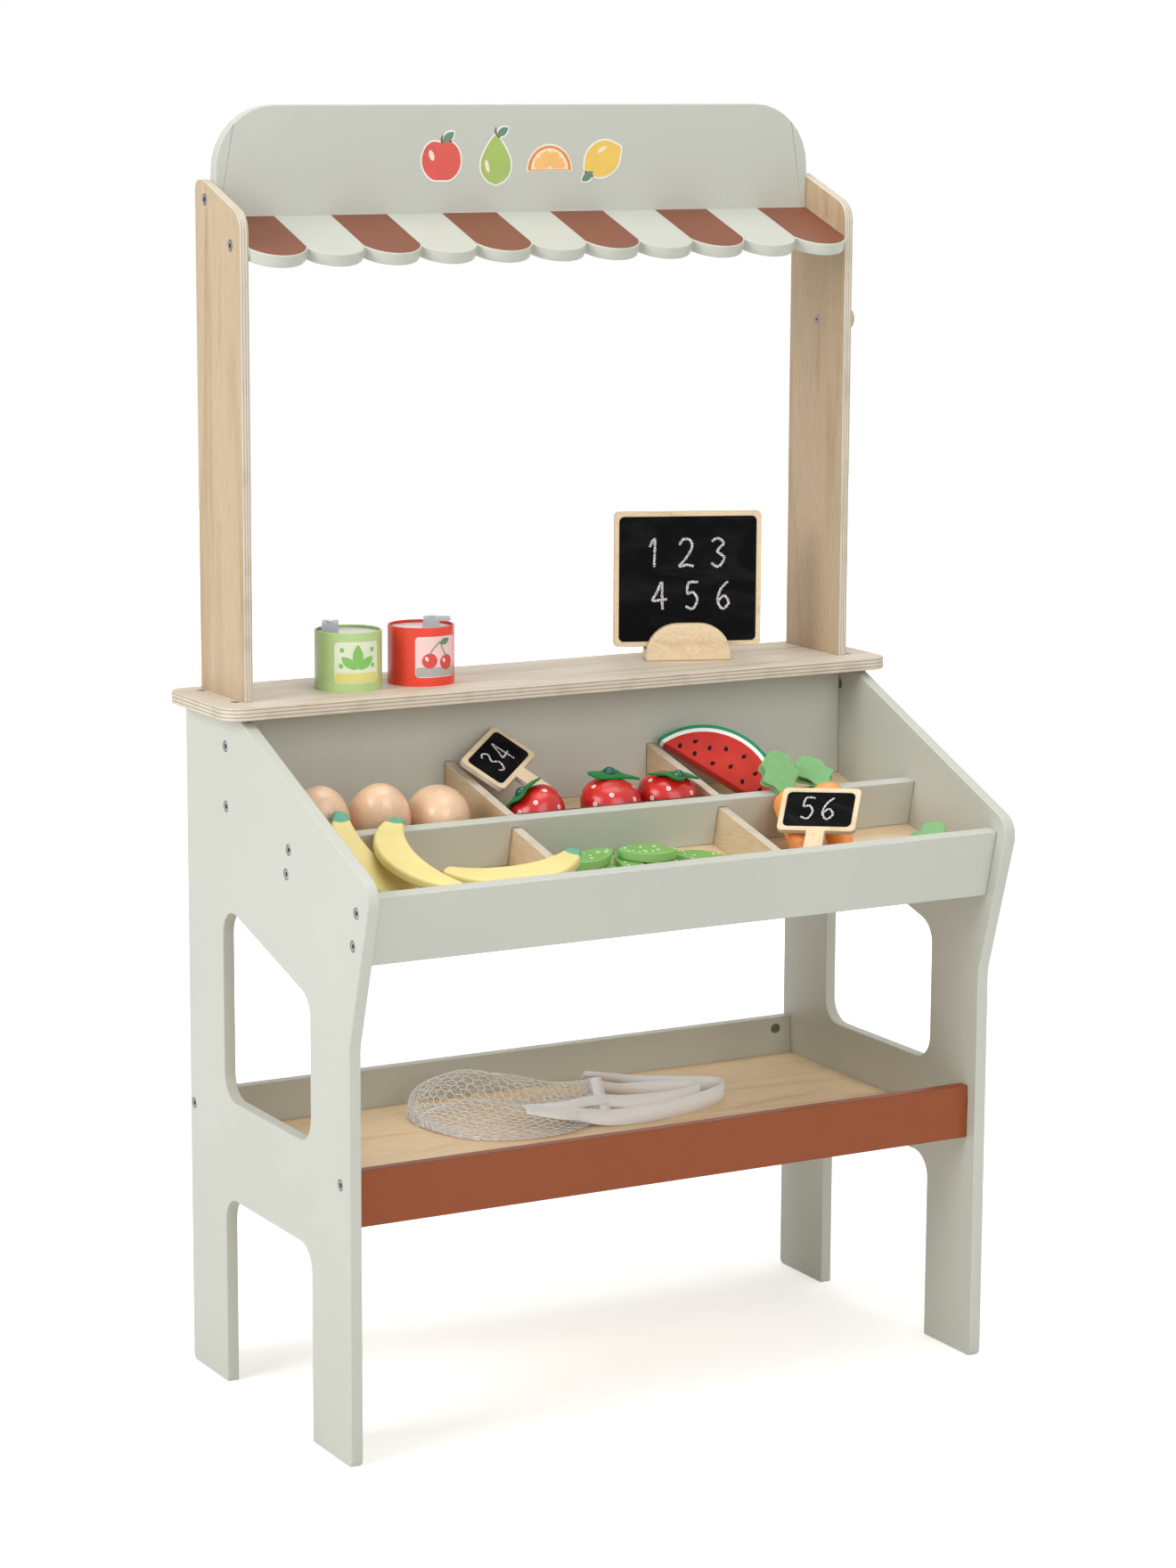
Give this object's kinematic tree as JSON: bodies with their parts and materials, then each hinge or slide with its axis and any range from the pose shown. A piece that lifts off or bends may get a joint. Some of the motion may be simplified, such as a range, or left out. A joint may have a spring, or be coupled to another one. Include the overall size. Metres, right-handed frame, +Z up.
{
  "type": "toy market stall",
  "caption": "Wooden play market stall with a counter, striped scalloped canopy board, sloping divided bin and lower shelf, set out with loose play food, tins, price signs and a net bag",
  "frame": {"origin": "on the floor, under the middle of the whole part's box", "axes": "+X to the right as a customer sees the stall, +Y from the customer's side to the back, +Z up"},
  "size_m": [0.721, 0.393, 1.202],
  "materials": {
    "white_painted_board": "satin off-white paint on board",
    "terracotta_painted_board": "satin terracotta paint on board",
    "birch_plywood": "clear matt lacquer, layered edge",
    "turned_birch": "clear matt lacquer",
    "fastener_steel": "zinc plated",
    "green_tin": "printed tin",
    "red_tin": "printed tin",
    "white_tin": "white enamel",
    "grey_plastic": "moulded",
    "pale_plywood": "clear matt lacquer",
    "black_slate_paint": "matt chalkboard paint",
    "egg_paint": "satin paint on turned wood",
    "red_fruit_paint": "satin paint with printed dots",
    "dark_green_felt": "felt",
    "yellow_fruit_paint": "satin paint with tinted tips",
    "orange_fruit_paint": "satin paint with short dashes",
    "light_green_felt": "felt",
    "melon_paint": "satin paint with a pale band and a green rind",
    "bulb_paint": "satin paint",
    "green_fruit_paint": "satin paint",
    "white_cotton": "open cotton net with woven band handles"
  },
  "bodies": {
    "stall": {"left_side_panel": "white_painted_board", "right_side_panel": "white_painted_board", "counter_top": "birch_plywood", "left_upright": "birch_plywood", "right_upright": "birch_plywood", "header_board": "white_painted_board", "canopy_board": "terracotta_painted_board", "back_panel": "white_painted_board", "bin_floor": "birch_plywood", "middle_rail": "white_painted_board", "front_board": "white_painted_board", "back_left_divider": "birch_plywood", "back_right_divider": "birch_plywood", "front_left_divider": "birch_plywood", "front_right_divider": "birch_plywood", "shelf_back_rail": "white_painted_board", "shelf_front_rail": "terracotta_painted_board", "shelf_floor": "birch_plywood", "bag_knob": "turned_birch", "knob_screw": "fastener_steel", "panel_bolts": "fastener_steel", "upright_bolts": "fastener_steel", "barrel_nuts": "fastener_steel", "counter_screws": "fastener_steel"},
    "green_can": {"green_can": "green_tin", "green_can_lid": "white_tin"},
    "green_can_tab": {"green_can_tab": "grey_plastic"},
    "red_can": {"red_can": "red_tin", "red_can_lid": "white_tin"},
    "red_can_tab": {"red_can_tab": "grey_plastic"},
    "chalkboard_foot": {"chalkboard_foot": "pale_plywood"},
    "chalkboard": {"chalkboard": "pale_plywood", "chalkboard_slate": "black_slate_paint"},
    "left_sign": {"left_sign": "pale_plywood", "left_sign_slate": "black_slate_paint"},
    "right_sign": {"right_sign": "pale_plywood", "right_sign_slate": "black_slate_paint"},
    "egg_1": {"egg_1": "egg_paint"},
    "egg_2": {"egg_2": "egg_paint"},
    "egg_3": {"egg_3": "egg_paint"},
    "strawberry_1": {"strawberry_1": "red_fruit_paint", "strawberry_1_leaf": "dark_green_felt"},
    "strawberry_2": {"strawberry_2": "red_fruit_paint", "strawberry_2_leaf": "dark_green_felt"},
    "strawberry_3": {"strawberry_3": "red_fruit_paint", "strawberry_3_leaf": "dark_green_felt"},
    "watermelon_slice": {"watermelon_slice": "melon_paint"},
    "onion_and_garlic": {"onion_and_garlic": "bulb_paint"},
    "banana_1": {"banana_1": "yellow_fruit_paint"},
    "banana_2": {"banana_2": "yellow_fruit_paint"},
    "banana_3": {"banana_3": "yellow_fruit_paint"},
    "carrot_1": {"carrot_1": "orange_fruit_paint", "carrot_1_leaf": "light_green_felt"},
    "carrot_2": {"carrot_2": "orange_fruit_paint", "carrot_2_leaf": "light_green_felt"},
    "carrot_3": {"carrot_3": "orange_fruit_paint", "carrot_3_leaf": "light_green_felt"},
    "pea_pods": {"pea_pods": "green_fruit_paint"},
    "net_bag": {"net_bag": "white_cotton"}
  },
  "joints": [
    {"name": "green_can_lift", "type": "slide", "parent": "stall", "child": "green_can", "axis": [0, 0, 1], "range_m": [0, 0.1]},
    {"name": "green_tab_swivel", "type": "hinge", "parent": "green_can", "child": "green_can_tab", "pos_m": [-0.22256, 0.12451, 0.713], "axis": [0, 0, 1], "continuous": true},
    {"name": "red_can_lift", "type": "slide", "parent": "stall", "child": "red_can", "axis": [0, 0, 1], "range_m": [0, 0.1]},
    {"name": "red_tab_swivel", "type": "hinge", "parent": "red_can", "child": "red_can_tab", "pos_m": [-0.1211, 0.11427, 0.713], "axis": [0, 0, 1], "continuous": true},
    {"name": "chalkboard_foot_lift", "type": "slide", "parent": "stall", "child": "chalkboard_foot", "axis": [0, 0, 1], "range_m": [0, 0.1]},
    {"name": "chalkboard_lift", "type": "slide", "parent": "chalkboard_foot", "child": "chalkboard", "axis": [0, 0, 1], "range_m": [0, 0.1]},
    {"name": "egg_1_lift", "type": "slide", "parent": "stall", "child": "egg_1", "axis": [0, 0, 1], "range_m": [0, 0.08]},
    {"name": "egg_2_lift", "type": "slide", "parent": "stall", "child": "egg_2", "axis": [0, 0, 1], "range_m": [0, 0.08]},
    {"name": "egg_3_lift", "type": "slide", "parent": "stall", "child": "egg_3", "axis": [0, 0, 1], "range_m": [0, 0.08]},
    {"name": "strawberry_1_lift", "type": "slide", "parent": "stall", "child": "strawberry_1", "axis": [0, -0.2334, 0.9724], "range_m": [0, 0.02]},
    {"name": "left_sign_pull", "type": "slide", "parent": "strawberry_1", "child": "left_sign", "axis": [0.3201, -0.7603, 0.5652], "range_m": [0, 0.06]},
    {"name": "strawberry_2_lift", "type": "slide", "parent": "stall", "child": "strawberry_2", "axis": [0, -0.2334, 0.9724], "range_m": [0, 0.08]},
    {"name": "strawberry_3_lift", "type": "slide", "parent": "stall", "child": "strawberry_3", "axis": [0, -0.2334, 0.9724], "range_m": [0, 0.08]},
    {"name": "onion_and_garlic_lift", "type": "slide", "parent": "stall", "child": "onion_and_garlic", "axis": [0, -0.2334, 0.9724], "range_m": [0, 0.02]},
    {"name": "watermelon_lift", "type": "slide", "parent": "onion_and_garlic", "child": "watermelon_slice", "axis": [0, -0.2334, 0.9724], "range_m": [0, 0.02]},
    {"name": "banana_1_lift", "type": "slide", "parent": "stall", "child": "banana_1", "axis": [0, -0.2334, 0.9724], "range_m": [0, 0.08]},
    {"name": "banana_2_lift", "type": "slide", "parent": "banana_1", "child": "banana_2", "axis": [0, -0.2334, 0.9724], "range_m": [0, 0.08]},
    {"name": "banana_3_lift", "type": "slide", "parent": "banana_1", "child": "banana_3", "axis": [0, -0.2334, 0.9724], "range_m": [0, 0.08]},
    {"name": "carrot_1_lift", "type": "slide", "parent": "stall", "child": "carrot_1", "axis": [0, -0.2334, 0.9724], "range_m": [0, 0.08]},
    {"name": "right_sign_lift", "type": "slide", "parent": "carrot_1", "child": "right_sign", "axis": [0, -0.2334, 0.9724], "range_m": [0, 0.08]},
    {"name": "carrot_2_lift", "type": "slide", "parent": "stall", "child": "carrot_2", "axis": [0, -0.2334, 0.9724], "range_m": [0, 0.025]},
    {"name": "carrot_3_lift", "type": "slide", "parent": "stall", "child": "carrot_3", "axis": [0, -0.2334, 0.9724], "range_m": [0, 0.08]},
    {"name": "pea_pods_lift", "type": "slide", "parent": "stall", "child": "pea_pods", "axis": [0, -0.2334, 0.9724], "range_m": [0, 0.08]},
    {"name": "net_bag_lift", "type": "slide", "parent": "stall", "child": "net_bag", "axis": [0, 0, 1], "range_m": [0, 0.15]}
  ]
}
